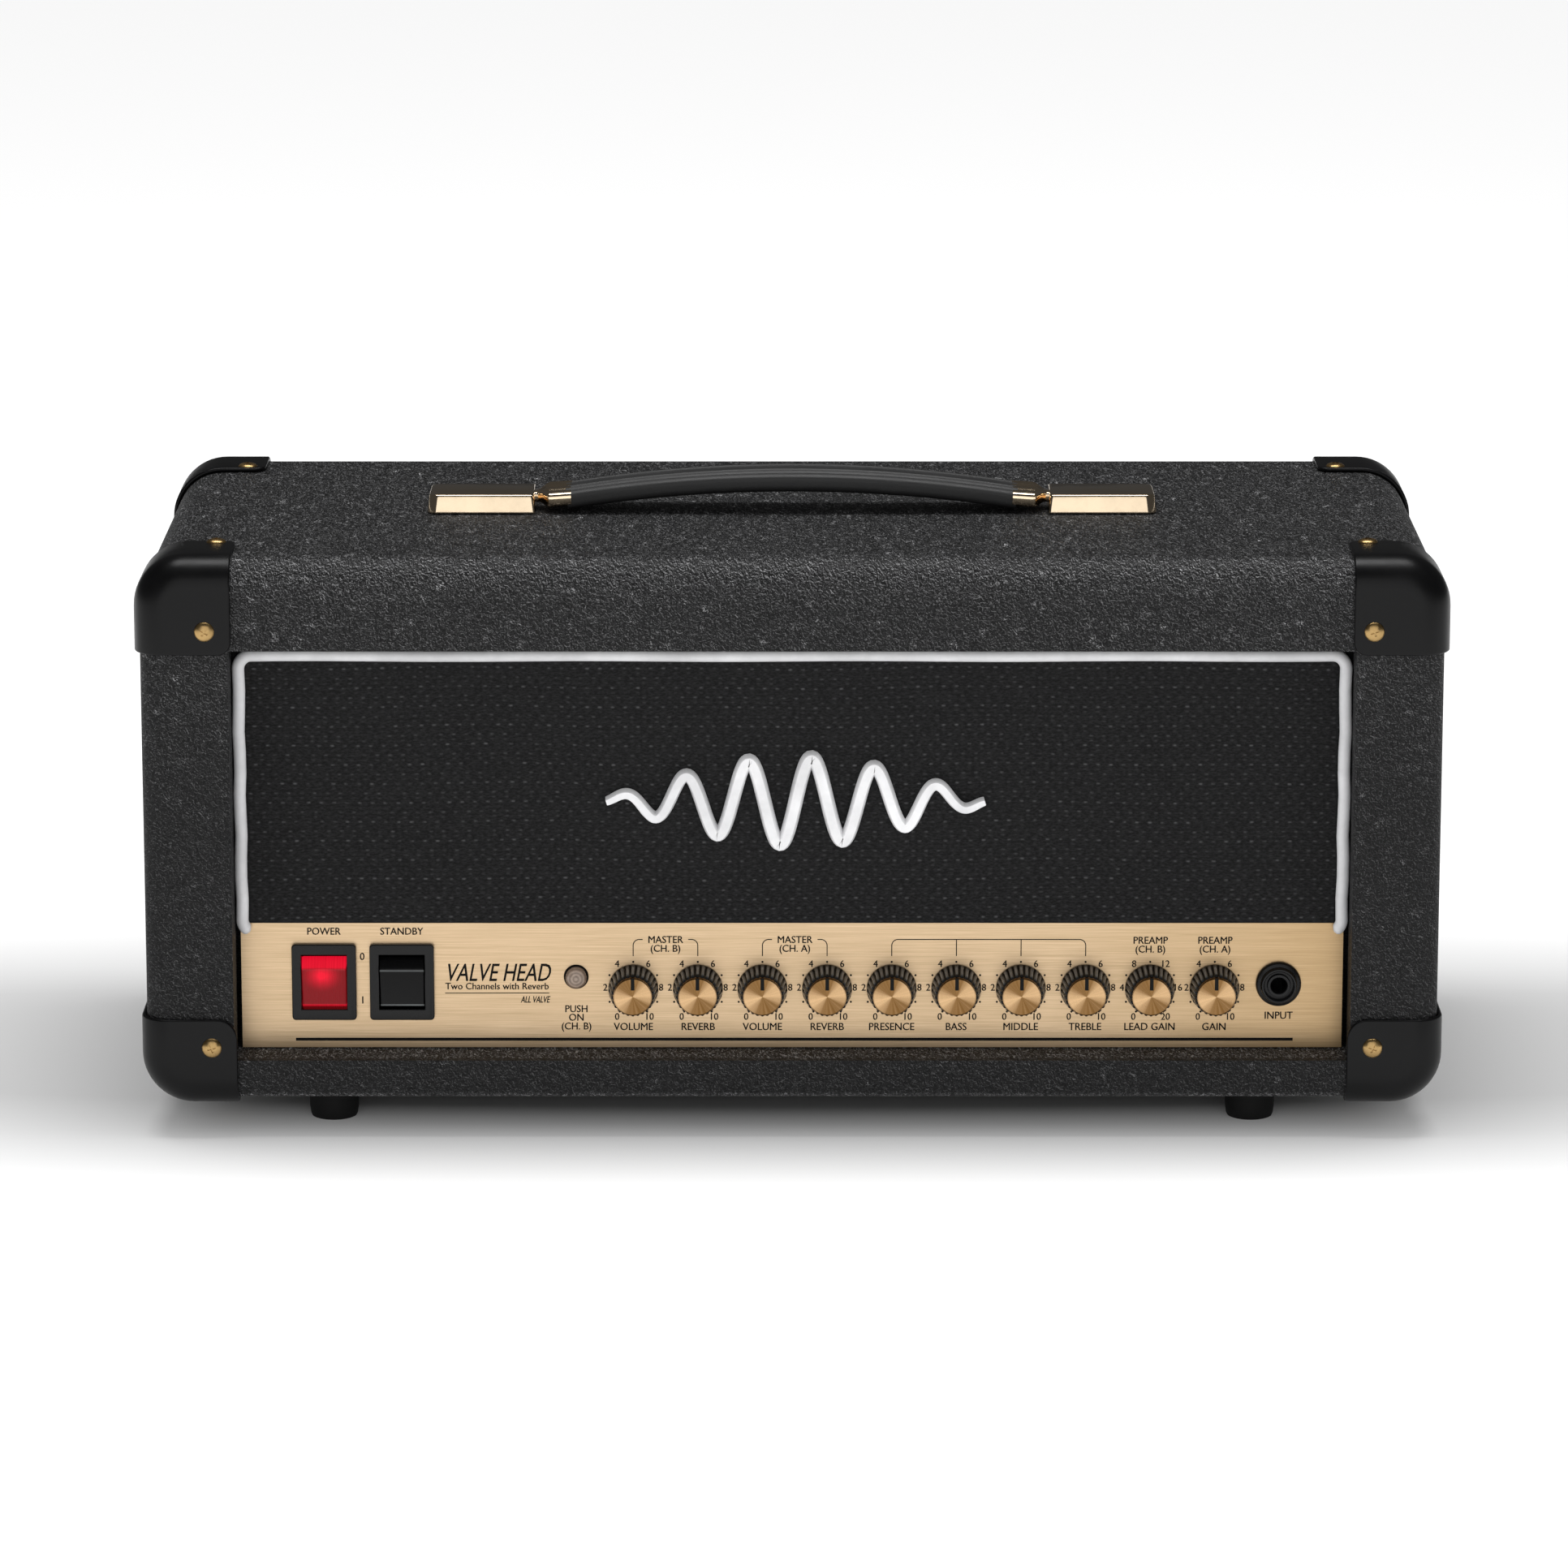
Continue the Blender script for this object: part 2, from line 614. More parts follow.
def cloth():
    """The woven sheet over the baffle, slightly uneven in tension."""
    low_x, high_x = -0.2134, 0.2134
    low_z, high_z = PANEL_TOP + 0.0002, OPENING_TOP - 0.0010
    x = np.arange(low_x, high_x, THREAD_ACROSS / 3.2)
    z = np.arange(low_z, high_z, THREAD_UP / 3)
    x, z = np.meshgrid(x, z)
    sway = 0.0004 * np.sin(31 * x + 2.0) + 0.0003 * np.sin(67 * x + 40 * z)
    lean = 0.0005 * np.sin(47 * z) + 0.0003 * np.sin(23 * x + 1.0)
    u = (x + lean) / THREAD_ACROSS + 0.5
    v = (z + sway) / THREAD_UP + 0.5
    y = CLOTH_FRONT + RELIEF / 2 - RELIEF * weave_height(u, v)
    threads = np.stack([u, v, 0 * u], axis=-1)
    points = np.stack([x, y, z], axis=-1)
    mesh = grid_mesh("grille_weave", points, "weave", "FLOAT_VECTOR", "vector", threads)
    obj = link("grille_weave", mesh)
    piece(obj, "grille_cloth", CLOTH, "grille_cloth")


def piping():
    """White piping round the cloth; its two ends curl inwards over the fascia's top corners."""
    radius = 0.0024
    side = OPENING - 0.0003 - radius
    level = CLOTH_FRONT - GAP - radius
    top = OPENING_TOP - 0.0047
    bend = 0.0052
    low = PANEL_TOP + 0.0022
    curl = arc(-side + bend, low, bend, 245, 185)
    wobble = [(-side + 0.00025 * math.sin(i * 1.9), low + (top - bend - low) * i / 12) for i in range(1, 12)]
    level_end = side - bend - 0.01
    over = [(x, top + 0.00015 * math.sin(60 * x)) for x in np.linspace(-level_end, level_end, 40)]
    half = curl + wobble + arc(-side + bend, top - bend, bend, 180, 90)
    mirrored = [(-x, z) for x, z in reversed(half)]
    path = [(x, level, z) for x, z in half + over + mirrored]

    def section(share):
        near = min(1.0, min(share, 1 - share) * (len(path) - 1) / 4)
        return circle(radius * max(0.2, math.sqrt(1 - (1 - near) ** 2)))

    make("piping", sweep(path, section, (0.0, -1.0, 0.0)), 60, "white_piping", WHITE_VINYL, "front_piping")


def badge():
    """A raised wave that swells and dies away: a flat face with sloping, greyer sides."""
    half = 0.0725
    middle = TOP - 0.0962
    path = []
    for x in [-half + 2 * half * i / 260 for i in range(261)]:
        swell = math.cos(math.pi * x / (2 * half + 0.012)) ** 1.3
        wave = 0.0172 * swell * math.sin(2 * math.pi * 6 * (x + half) / (2 * half))
        path.append((x + 0.0014, CLOTH_FRONT - GAP, wave + middle))

    def section(share):
        width = 0.0028 * (0.55 + 0.45 * math.sin(math.pi * share) ** 0.5)
        right = [(width * 0.6, 0.0044), (width * 0.72, 0.0040), (width, 0.0006), (width, 0.0)]
        return [(-a, b) for a, b in reversed(right)] + right

    make("wave_badge", sweep(path, section, (0.0, -1.0, 0.0)), 32, "white_badge", WHITE, "front_badge")


cloth()
piping()
badge()


# ---------------- fascia print
INK = moulded_look("print_ink", (0.0035, 0.0025, 0.0018), 0.5, gloss=0.12)
LETTER_WIDTH = 0.94
SMALL_CAP = 0.0028
LABEL_CAP = 0.0029
STROKE_SHIFT = 0.00007


class Print:
    """Flat lettering and lines gathered into one mesh, in a front or back plane."""

    def __init__(self, level, facing=-1):
        self.bm = bmesh.new()
        self.level = level
        self.facing = facing

    def text(self, words, x, z, cap, slant=0.0, align="CENTER", width=LETTER_WIDTH):
        """Words of a capital height, drawn twice a little apart to thicken their strokes."""
        curve = bpy.data.curves.new("words", "FONT")
        curve.body = words
        curve.size = cap / 0.70
        curve.align_x = align
        curve.shear = slant
        curve.resolution_u = 3
        obj = link("words", curve)
        mesh = evaluated_mesh(obj)
        bpy.data.objects.remove(obj)
        across, facing = (-self.facing * width, 0, 0, x), (0, 0, self.facing, self.level)
        mesh.transform(Matrix((across, facing, (0, 1, 0, z - cap / 2), (0, 0, 0, 1))))
        for shift in (-STROKE_SHIFT, STROKE_SHIFT):
            copy = mesh.copy()
            outward = self.facing * (shift + STROKE_SHIFT) / 14
            copy.transform(Matrix.Translation((shift, outward, shift / 2)))
            self.bm.from_mesh(copy)
            bpy.data.meshes.remove(copy)
        bpy.data.meshes.remove(mesh)

    def line(self, points, width):
        """A flat line of even width along (x, z) points."""
        edges = []
        for i, point in enumerate(points):
            before = Vector(points[max(i - 1, 0)])
            after = Vector(points[min(i + 1, len(points) - 1)])
            along = (after - before).normalized()
            across = Vector((-along.y, along.x)) * width / 2
            pair = [Vector(point) + across, Vector(point) - across]
            edges.append([self.bm.verts.new((p.x, self.level, p.y)) for p in pair])
        for (a, b), (c, d) in zip(edges, edges[1:]):
            self.bm.faces.new((a, b, d, c))

    def dot(self, x, z, radius):
        ring = [self.bm.verts.new((x + a, self.level, z + b)) for a, b in circle(radius, 12)]
        self.bm.faces.new(ring)

    def done(self, name, slot):
        for face in self.bm.faces:
            face.normal_update()
            if face.normal.y * self.facing < 0:
                face.normal_flip()
        mesh = bpy.data.meshes.new(name)
        self.bm.to_mesh(mesh)
        self.bm.free()
        piece(link(name, mesh), slot, INK)


def knob_scale(ink, x, step):
    """The six numbers and seven dots round one knob."""
    spots = (
        (-0.0063, -0.0111), (-0.0108, 0.0005), (-0.0062, 0.0099),
        (0.0058, 0.0099), (0.0107, 0.0005), (0.0061, -0.0111),
    )
    for i, (dx, dz) in enumerate(spots):
        ink.text(str(step * i), x + dx, KNOB_LEVEL + dz, 0.0027)
    reach = 0.0106
    for angle in (0, 60, 120, 150, 210, 240, 300):
        turn = math.radians(angle)
        ink.dot(x + reach * math.sin(turn), KNOB_LEVEL + reach * math.cos(turn), 0.00042)


def knob_groups(ink):
    """The brackets over the channels' masters and the comb over the four shared tone controls."""
    rise, foot, bend, stroke = 0.0738, 0.0672, 0.0024, 0.00036
    for left, right, words in ((*KNOBS[0:2], "(CH. B)"), (*KNOBS[2:4], "(CH. A)")):
        centre = (left + right) / 2
        ink.text("MASTER", centre, rise, SMALL_CAP)
        ink.text(words, centre, rise - 0.0035, SMALL_CAP)
        for end, side in ((left, 1), (right, -1)):
            curve = arc(end + side * bend, rise - bend, bend, 90 + side * 90, 90)
            ink.line([(end, foot)] + curve + [(end + side * 0.0037, rise)], stroke)
    first, last = KNOBS[4], KNOBS[7]
    comb = [(first, foot)] + arc(first + bend, rise - bend, bend, 180, 90)
    comb += arc(last - bend, rise - bend, bend, 90, 0) + [(last, foot)]
    ink.line(comb, stroke)
    for x in KNOBS[5:7]:
        ink.line([(x, rise), (x, foot)], stroke)
    for x, words in zip(KNOBS[8:], ("(CH. B)", "(CH. A)")):
        ink.text("PREAMP", x, 0.0735, SMALL_CAP)
        ink.text(words, x, 0.0700, SMALL_CAP)


def fascia_print():
    ink = Print(PANEL_FRONT - 0.00006)
    middle = (POWER_SWITCH + STANDBY_SWITCH) / 2 - 0.0003
    ink.text("POWER", POWER_SWITCH, 0.0771, SMALL_CAP)
    ink.text("STANDBY", STANDBY_SWITCH, 0.0771, SMALL_CAP)
    ink.text("0", middle, 0.0671, LABEL_CAP)
    ink.text("1", middle, 0.0498, LABEL_CAP)
    ink.text("VALVE HEAD", -0.1338, 0.0608, 0.0070, 0.28, "LEFT", 0.70)
    ink.text("Two Channels with Reverb", -0.1337, 0.0553, 0.0026, 0.0, "LEFT", 0.97)
    ink.line([(-0.1338, 0.0525), (-0.0936, 0.0525)], 0.0003)
    ink.text("ALL VALVE", -0.0936, 0.0500, 0.0026, 0.28, "RIGHT", 0.62)
    for words, z in (("PUSH", 0.0463), ("ON", 0.0429), ("(CH. B)", 0.0394)):
        ink.text(words, BUTTON, z, SMALL_CAP)
    names = ["VOLUME", "REVERB"] * 2 + ["PRESENCE", "BASS", "MIDDLE", "TREBLE", "LEAD GAIN", "GAIN"]
    for x, words in zip(KNOBS, names):
        ink.text(words, x, 0.0392, LABEL_CAP)
        knob_scale(ink, x, 4 if words == "LEAD GAIN" else 2)
    knob_groups(ink)
    ink.text("INPUT", INPUT_JACK + 0.0002, 0.0437, LABEL_CAP)
    ink.line([(-0.1916, 0.0341), (0.1934, 0.0341)], 0.0012)
    ink.done("fascia_print", "gold_panel")


fascia_print()


# ---------------- knobs
def spun_look():
    """Gold-coloured aluminium turned on a lathe, so its sheen fans out from the middle."""
    look = Look("spun_cap", (0.62, 0.42, 0.2), 0.30, 1.0, Anisotropic=0.8)
    look.set(Tangent=look.node("ShaderNodeTangent", {}, direction_type="RADIAL", axis="Z"))
    flat = look.place((1.0, 1.0, 0.0))
    outward = flat.vector("NORMALIZE")
    along = outward.vector("DOT_PRODUCT", (0.95, 0.31, 0.0), "Value")
    streaks = look.node("ShaderNodeTexNoise", {"Vector": outward, "Scale": 5.0, "Detail": 1.5})
    share = (along * along).spread(0.35, 1.0) * 0.72 + streaks.spread(0.3, 0.75, 0.0, 0.20)
    fine = {"W": flat.length(), "Scale": 9000.0, "Detail": 2.0}
    rings = look.node("ShaderNodeTexNoise", fine, noise_dimensions="1D")
    return look.finish(
        (rings, 0.00001, 0.4),
        Base_Color=share.blend((0.20, 0.100, 0.030), (0.80, 0.53, 0.285)),
        Roughness=rings.spread(0.3, 0.7, 0.26, 0.36),
    )


def skirt_look():
    """Black moulding, rubbed paler along the crests of its ribs."""
    look = Look("knob_skirt", (0.005, 0.005, 0.0052), 0.24, Specular_IOR_Level=0.25)
    crest = look.node("ShaderNodeAttribute", {}, "Fac", attribute_name="crest")
    rubbed = crest ** 3.0 * look.noise(350.0, 3.0).spread(0.3, 0.7, 0.5, 1.0)
    return look.finish(
        (look.noise(2600.0), 0.00002, 0.4),
        Base_Color=rubbed.blend((0.0025, 0.0025, 0.0027), (0.155, 0.155, 0.152)),
        Roughness=rubbed.spread(0.0, 1.0, 0.30, 0.20),
    )


SPUN = spun_look()
SKIRT = skirt_look()
POINTER = moulded_look("pointer_ink", (0.003, 0.003, 0.003), 0.5, gloss=0.15)


def fluted_skirt(flutes=26, per_flute=8):
    """The knob's body: rounded ribs round a tapering skirt, its front hollowed for the cap."""
    profile = [
        (0.0028, 0.0004, 0.0), (0.0090, 0.0004, 0.0), (0.0096, 0.0007, 0.0), (0.00965, 0.0013, 0.1),
        (0.00955, 0.0022, 0.6), (0.0093, 0.0040, 1.0), (0.0090, 0.0070, 1.0), (0.0087, 0.0100, 1.0),
        (0.0085, 0.0122, 1.0), (0.0083, 0.0131, 0.9), (0.0080, 0.0136, 0.5), (0.0077, 0.0138, 0.1),
        (0.00750, 0.0138, 0.0), (0.00742, 0.0132, 0.0), (0.0028, 0.0132, 0.0),
    ]
    radius, height, share = (column[:, None] for column in np.array(profile).T)
    steps = flutes * per_flute
    turn = np.arange(steps) * 2 * math.pi / steps
    turn = np.append(turn, turn[0])[None, :]
    groove = (0.5 + 0.5 * np.cos(flutes * turn)) ** 2.2
    r = radius - 0.00085 * share * groove
    points = np.stack([r * np.cos(turn), r * np.sin(turn), height + 0 * turn], axis=-1)
    bm = bmesh.new()
    bm.from_mesh(grid_mesh("skirt", points, "crest", "FLOAT", "value", share * (1 - groove)))
    bmesh.ops.remove_doubles(bm, verts=bm.verts, dist=0.000001)
    return bm


def knobs():
    """Ten alike: a ribbed skirt, a spun cap on it and the pointer across both."""
    rim = 0.00745
    cap = [
        (rim - 0.0004, 0.0130), (rim - 0.0004, 0.0141), (rim, 0.0142), (rim, 0.0155),
        (rim - 0.0001, 0.01575), (rim - 0.00045, 0.0160), (rim - 0.0009, 0.01603), (0.003, 0.01596),
        (0.0, 0.01594),
    ]
    pointer = add_box(bmesh.new(), (-0.00072, 0.0026, 0.0155), (0.00072, 0.0074, 0.01620), 0.00022)
    add_box(pointer, (-0.00055, 0.0074, 0.0120), (0.00055, 0.00835, 0.0144), 0.0002)
    masters = (
        ("skirt", settle(from_bm("skirt", fluted_skirt()), 50), SKIRT),
        ("cap", settle(from_bm("cap", lathe(cap, steps=96)), 30), SPUN),
        ("pointer", settle(from_bm("pointer", pointer), 30), POINTER),
    )
    drawn_height, real_height = 0.0160, 0.0133
    for _, master, _ in masters:
        master.data.transform(Matrix.Diagonal((1.0, 1.0, real_height / drawn_height, 1.0)))
    uses = "volume_b reverb_b volume_a reverb_a presence bass middle treble gain_b gain_a".split()
    for i, (x, use) in enumerate(zip(KNOBS, uses)):
        for kind, master, look in masters:
            obj = link(f"{use}_{kind}", master.data.copy())
            obj.matrix_world = Matrix.Translation((x, PANEL_FRONT, KNOB_LEVEL)) @ FRONTWARD
            nodes = [f"knob_{i + 1:02d}"] if kind == "skirt" else []
            piece(obj, "knob", look, *nodes, body=f"{use}_knob")
    for _, master, _ in masters:
        bpy.data.objects.remove(master)


knobs()


# ---------------- switches, button and jack
def near_level(look, level, half, amount):
    """A share that peaks in a thin band at one height."""
    return abs(look.place().axis("Z") - level).spread(half * 0.4, half, amount, 0.0)


def lit_lens_look():
    """Red translucent plastic with a lamp behind its upper half, finely ribbed inside."""
    look = Look("lit_red_lens", (0.16, 0.002, 0.005), 0.24, Specular_IOR_Level=0.2)
    lamp_at = (POWER_SWITCH - 0.0008, 0.0, 0.0600)
    away = look.place().vector("SUBTRACT", lamp_at).vector("MULTIPLY", (0.85, 0.0, 1.0)).length()
    glow = away.spread(0.0012, 0.0070, 1.0, 0.0) ** 1.3
    top = look.place().axis("Z").spread(0.0622, 0.0634, 0.0, 0.82)
    ribs = look.noise(1.0, 1.0, stretch=(1500.0, 1.0, 30.0))
    both = glow.math("MAXIMUM", top).math("MAXIMUM", near_level(look, 0.0477, 0.0007, 0.5))
    both = both * ribs.spread(0.3, 0.7, 0.86, 1.06)
    return look.finish(
        (ribs, 0.00015, 0.4),
        Emission_Color=both.blend((0.20, 0.006, 0.008), (1.0, 0.006, 0.035)),
        Emission_Strength=both.spread(0.0, 1.0, 0.48, 0.88),
        Roughness=ribs.spread(0.3, 0.7, 0.2, 0.32),
    )


def rocker_black_look():
    """Glossy black moulding, worn paler along the rocker's ridge and lip."""
    dark = (0.002, 0.002, 0.0022)
    look = Look("rocker_black", dark, 0.22, Specular_IOR_Level=0.22)
    ridge, lip = near_level(look, 0.0621, 0.00045, 0.55), near_level(look, 0.0477, 0.0005, 1.0)
    marks = look.noise(60.0, 4.0, 0.6, stretch=(0.4, 1.0, 1.0))
    worn = ridge.math("MAXIMUM", lip) * marks.spread(0.35, 0.6, 0.6, 1.0)
    return look.finish(
        (look.noise(2400.0), 0.00002, 0.3),
        Base_Color=worn.blend(dark, (0.20, 0.215, 0.215)),
        Roughness=marks.spread(0.3, 0.7, 0.17, 0.28),
    )


def smoky_look():
    """Smoky translucent plastic with moulded rings."""
    clear = {"Transmission_Weight": 0.18, "IOR": 1.49, "Coat_Weight": 0.4}
    look = Look("smoky_button", (0.30, 0.23, 0.18), 0.18, **clear)
    rings = (look.place((1.0, 1.0, 0.0)).length() * 4600.0).math("SINE")
    cloud = look.noise(500.0, 3.0)
    share = rings.spread(-1.0, 1.0, 0.0, 0.6) + cloud.spread(0.3, 0.7, 0.0, 0.4)
    return look.finish(
        (rings, 0.00006, 0.5),
        Base_Color=share.blend((0.17, 0.115, 0.085), (0.46, 0.345, 0.26)),
        Roughness=cloud.spread(0.3, 0.7, 0.14, 0.26),
    )


def rocker_profile():
    """The rocker from the side, as (depth, height) from its pivot."""
    crest = [(-a, b) for a, b in arc(0.0, 0.0, 0.0130, 36, 62, 8)]
    upper = crest + [(-0.0010, 0.0090), (0.0024, 0.0040)]
    lower = [(depth, -height) for depth, height in reversed(upper)]
    hollow = [(-0.0101 - 0.0004 * (z / 0.0076) ** 2, z) for z in np.linspace(-0.0066, 0.0066, 9)]
    return upper + lower + hollow


def rocker(name, x, slot, look):
    """A rocker switch: the tipping part, and its bezel and body in one hollow piece."""
    tilt = Matrix.Rotation(math.radians(12.5), 4, "X")
    pivot = Matrix.Translation((x, PANEL_FRONT + 0.0085, SWITCH_LEVEL)) @ tilt
    rings = [[pivot @ Vector((side, y, z)) for y, z in rocker_profile()] for side in (-0.0085, 0.0085)]
    shell = from_bm(f"{name}_rocker_shell", add_rings(bmesh.new(), rings))
    bevel(shell, 0.00035, 3, 30)
    piece(settle(shell, 35), slot, look, f"{name}_rocker", body=f"{name}_rocker")

    def part(part_name, half_x, half_z, near, far):
        ends = (PANEL_FRONT + near, PANEL_FRONT + far)
        return box(part_name, *around(x, SWITCH_LEVEL, half_x, half_z, *ends))

    housing = part(f"{name}_bezel", 0.0124, 0.0150, -0.0022, -0.0001)
    weighted_bevel(housing, 0.0014, 5)
    housing = boolean(settle(housing), "UNION", part("body", 0.0110, 0.0139, -0.001, 0.018))
    housing = cut(housing, part("opening", 0.0088, 0.0108, -OUT, 0.002))
    housing = cut(housing, part("hollow", 0.0088, 0.0132, -0.0008, 0.0165))
    bevel(housing, 0.00045, 3, 50)
    piece(settle(housing, 35), "black_plastic", BLACK, f"{name}_switch_housing")


def button_and_jack():
    """The channel button in its sleeve, and the input jack's nut and bush."""
    place = Matrix.Translation((BUTTON, PANEL_FRONT, BUTTON_LEVEL)) @ FRONTWARD
    radius, bore = 0.00405, 0.0031
    dome = [(radius * math.sin(a), 0.0026 + 0.0016 * math.cos(a)) for a in np.radians(range(9, 91, 9))]
    profile = [(0.0, 0.0042)] + dome + [(radius, -0.0150), (0.0, -0.0150)]
    button = ("channel_button_dome", lathe(profile), 50, "clear_button", smoky_look(), "channel_button")
    make(*button, body="channel_button", place=place)
    sleeve = [(0.00412, 0.0004), (0.00455, 0.0006), (0.0048, 0.0003), (0.0048, -0.012), (0.00412, -0.012)]
    make("button_sleeve", lathe(sleeve + sleeve[:1]), 50, "black_plastic", BLACK, place=place)
    nut = [
        (bore, -0.0220), (bore, 0.0035), (bore + 0.0003, 0.0038), (0.0043, 0.0038), (0.0045, 0.0033),
        (0.0046, 0.0026), (0.0055, 0.0026), (0.0057, 0.0046), (0.0060, 0.0049), (0.0066, 0.0048),
        (0.0069, 0.0044), (0.0071, 0.0026), (0.0077, 0.0024), (0.0082, 0.0022), (0.0086, 0.0016),
        (0.00875, 0.0010), (0.00875, 0.0001), (0.0057, 0.0001), (0.0057, -0.0240), (0.0, -0.0240),
        (0.0, -0.0220), (bore, -0.0220),
    ]
    place = Matrix.Translation((INPUT_JACK, PANEL_FRONT, JACK_LEVEL)) @ FRONTWARD
    make("input_jack_nut", lathe(nut, steps=72), 32, "jack_plastic", BLACK, "input_jack", place=place)


rocker("power", POWER_SWITCH, "red_lens", lit_lens_look())
rocker("standby", STANDBY_SWITCH, "black_plastic", rocker_black_look())
button_and_jack()

# ---------------- handle
GRIP_END = 0.0880
LIFT_START = 0.0985
STRAP_UP = (0.0, 0.0, 1.0)


def handle_caps():
    """Cast end caps with drafted sides and rounded outer corners."""
    half_length, half_width, height = 0.0213, 0.0144, 0.0073
    for side, name in ((-1, "left"), (1, "right")):
        bm = add_box(bmesh.new(), (-half_length, -half_width, 0.0), (half_length, half_width, height))
        for end, radius, segments in ((side, 0.0042, 10), (-side, 0.0012, 3)):
            upright = [e for e in bm.edges if abs(e.verts[0].co.z - e.verts[1].co.z) > 0.001]
            here = [e for e in upright if abs(e.verts[0].co.x - end * half_length) < NEAR]
            bmesh.ops.bevel(bm, geom=here, offset=radius, segments=segments, profile=0.5, affect="EDGES")
        for vert in bm.verts:
            if vert.co.z > 0.001:
                vert.co.x -= math.copysign(0.0009, vert.co.x)
                vert.co.y -= math.copysign(0.0016, vert.co.y)
        obj = from_bm(f"cast_cap_{name}", bm, (side * 0.1216, 0.0, TOP + GAP))
        bevel(obj, 0.0007, 3, 50)
        piece(settle(obj, 30), "gold_plate", GOLD, f"handle_cap_{name}")


def rounded_section(half_width, half_height, power, steps, ribs, rib_depth):
    """A superellipse as (side, up) points, with ribs lengthwise over its upper face."""
    points = []
    for c, s in circle(1.0, steps):
        a = half_width * math.copysign(abs(c) ** (2 / power), c)
        b = half_height * math.copysign(abs(s) ** (2 / power), s)
        share = a / half_width
        if s > 0 and abs(share) < 0.8:
            b -= rib_depth * (0.5 - 0.5 * math.cos(2 * math.pi * ribs * (share + 0.8) / 1.6))
        points.append((a, b))
    return points


def smooth(share):
    share = min(max(share, 0.0), 1.0)
    return share * share * (3 - 2 * share)


def handle_strap():
    """Two halves of an arched, ridged strap with ribbed sleeves, which bend when the handle lifts."""
    overlap = 0.0016
    length = LIFT_START + 0.0030 - GRIP_END + overlap

    def section(share):
        return rounded_section(0.0131, 0.0042 + 0.0001 * smooth(share), 3.6, 120, 6, 0.0009)

    def sleeve(share):
        wide = smooth((0.0135 - length * share) / 0.0050)
        half_width, half_height = 0.0040 + 0.0096 * wide, 0.0022 + 0.0016 * wide
        return rounded_section(half_width, half_height, 3.4, 96, 4, 0.0011 * wide)

    for side, name in ((-1, "left"), (1, "right")):
        across = [GRIP_END * (1 - i / 44) for i in range(45)]
        path = [(side * x, 0.0, TOP + 0.0052 + 0.0070 * (1 - (x / GRIP_END) ** 2)) for x in across]
        grip = settle(from_bm(f"strap_{name}", sweep(path, section, STRAP_UP)), 35)
        shares = [i / 24 for i in range(25)]
        path = [(side * (GRIP_END - overlap + length * t), 0.0, TOP + 0.0060 - 0.0010 * t) for t in shares]
        ferrule = settle(from_bm(f"sleeve_{name}", sweep(path, sleeve, STRAP_UP)), 40)
        for obj, slot, look, node in (
            (grip, "strap_vinyl", STRAP, "handle_grip"),
            (ferrule, "gold_plate", GOLD, f"handle_ferrule_{name}"),
        ):
            obj.data.materials.append(look)
            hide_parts(node)
            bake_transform(obj)


# ---------------- screws and feet
def screw_master(name, radius, height, slot=0.0007):
    """The mesh of a domed head with a cross recess, standing on Z = 0."""
    dome = [(radius * math.cos(a), height * math.sin(a)) for a in np.radians(np.linspace(90, 0, 9))]
    profile = [(0.0, height)] + dome[1:] + [(radius, -0.0006), (0.0, -0.0006)]
    head = settle(from_bm(name, lathe(profile, steps=36)), 40)
    reach = radius * 0.42
    for x, y in ((reach, slot / 2), (slot / 2, reach)):
        head = cut(head, box("slot", (-x, -y, height * 0.55), (x, y, height + 0.001)))
    mesh = head.data
    bpy.data.objects.remove(head)
    return mesh


def place_screws(prefix, mesh, places, slot, look):
    """Copies of a screw at (where, turn), each turned differently about its own axis."""
    for i, (where, turn) in enumerate(places):
        obj = link(f"{prefix}_{i + 1:02d}", mesh.copy())
        obj.matrix_world = Matrix.Translation(where) @ turn @ Matrix.Rotation(0.7 * i + 0.3, 4, "Z")
        piece(obj, slot, look)


def corner_screws():
    """One on the front or back flap of each corner and one on its top or bottom flap."""
    surface = THICKNESS - 0.0003
    places = []
    for side in (-1, 1):
        for y, turn in ((FRONT - surface, FRONTWARD), (BACK + surface, BACKWARD)):
            high = 0.2203 if side > 0 and y < 0 else side * 0.2225
            places += [((side * 0.2225, y, 0.0360), turn), ((high, y, 0.1988), turn)]
        for y in (-0.081, 0.082):
            places.append(((side * 0.2200, y, TOP + surface), UPWARD))
            places.append(((side * 0.2200, y, FOOT_HEIGHT - surface), DOWNWARD))
    head = screw_master("corner_screw", 0.0039, 0.0018)
    place_screws("corner_screw", head, places, "gold_plate", SCREW_GOLD)


def feet():
    """Turned rubber feet, each with a recessed steel washer and screw."""
    height = FOOT_HEIGHT - GAP
    rubber = [
        (0.0, height), (0.0092, height), (0.0097, height - 0.0005), (0.0098, height - 0.0012),
        (0.0097, 0.0080), (0.0095, 0.0040), (0.0091, 0.0012), (0.0087, 0.0003), (0.0080, 0.0),
        (0.0060, 0.0), (0.0056, 0.0004), (0.0055, 0.0050), (0.0, 0.0050),
    ]
    washer = [(0.0, 0.0052), (0.0, 0.0040), (0.0052, 0.0042), (0.0053, 0.0052)]
    head = screw_master("foot_screw_head", 0.0030, 0.0016)
    steel = ("chassis_steel", CHASSIS_STEEL)
    for x, x_name in ((-0.178, "left"), (0.178, "right")):
        for y, y_name in ((-0.080, "front"), (0.080, "back")):
            name = f"foot_{y_name}_{x_name}"
            make(f"{name}_turned", lathe(rubber, (x, y, 0.0)), 40, "foot_rubber", RUBBER, name)
            make(f"{name}_washer", lathe(washer, (x, y, 0.0)), 40, *steel)
            place_screws(f"{name}_screw", head, [((x, y, 0.0041), DOWNWARD)], *steel)


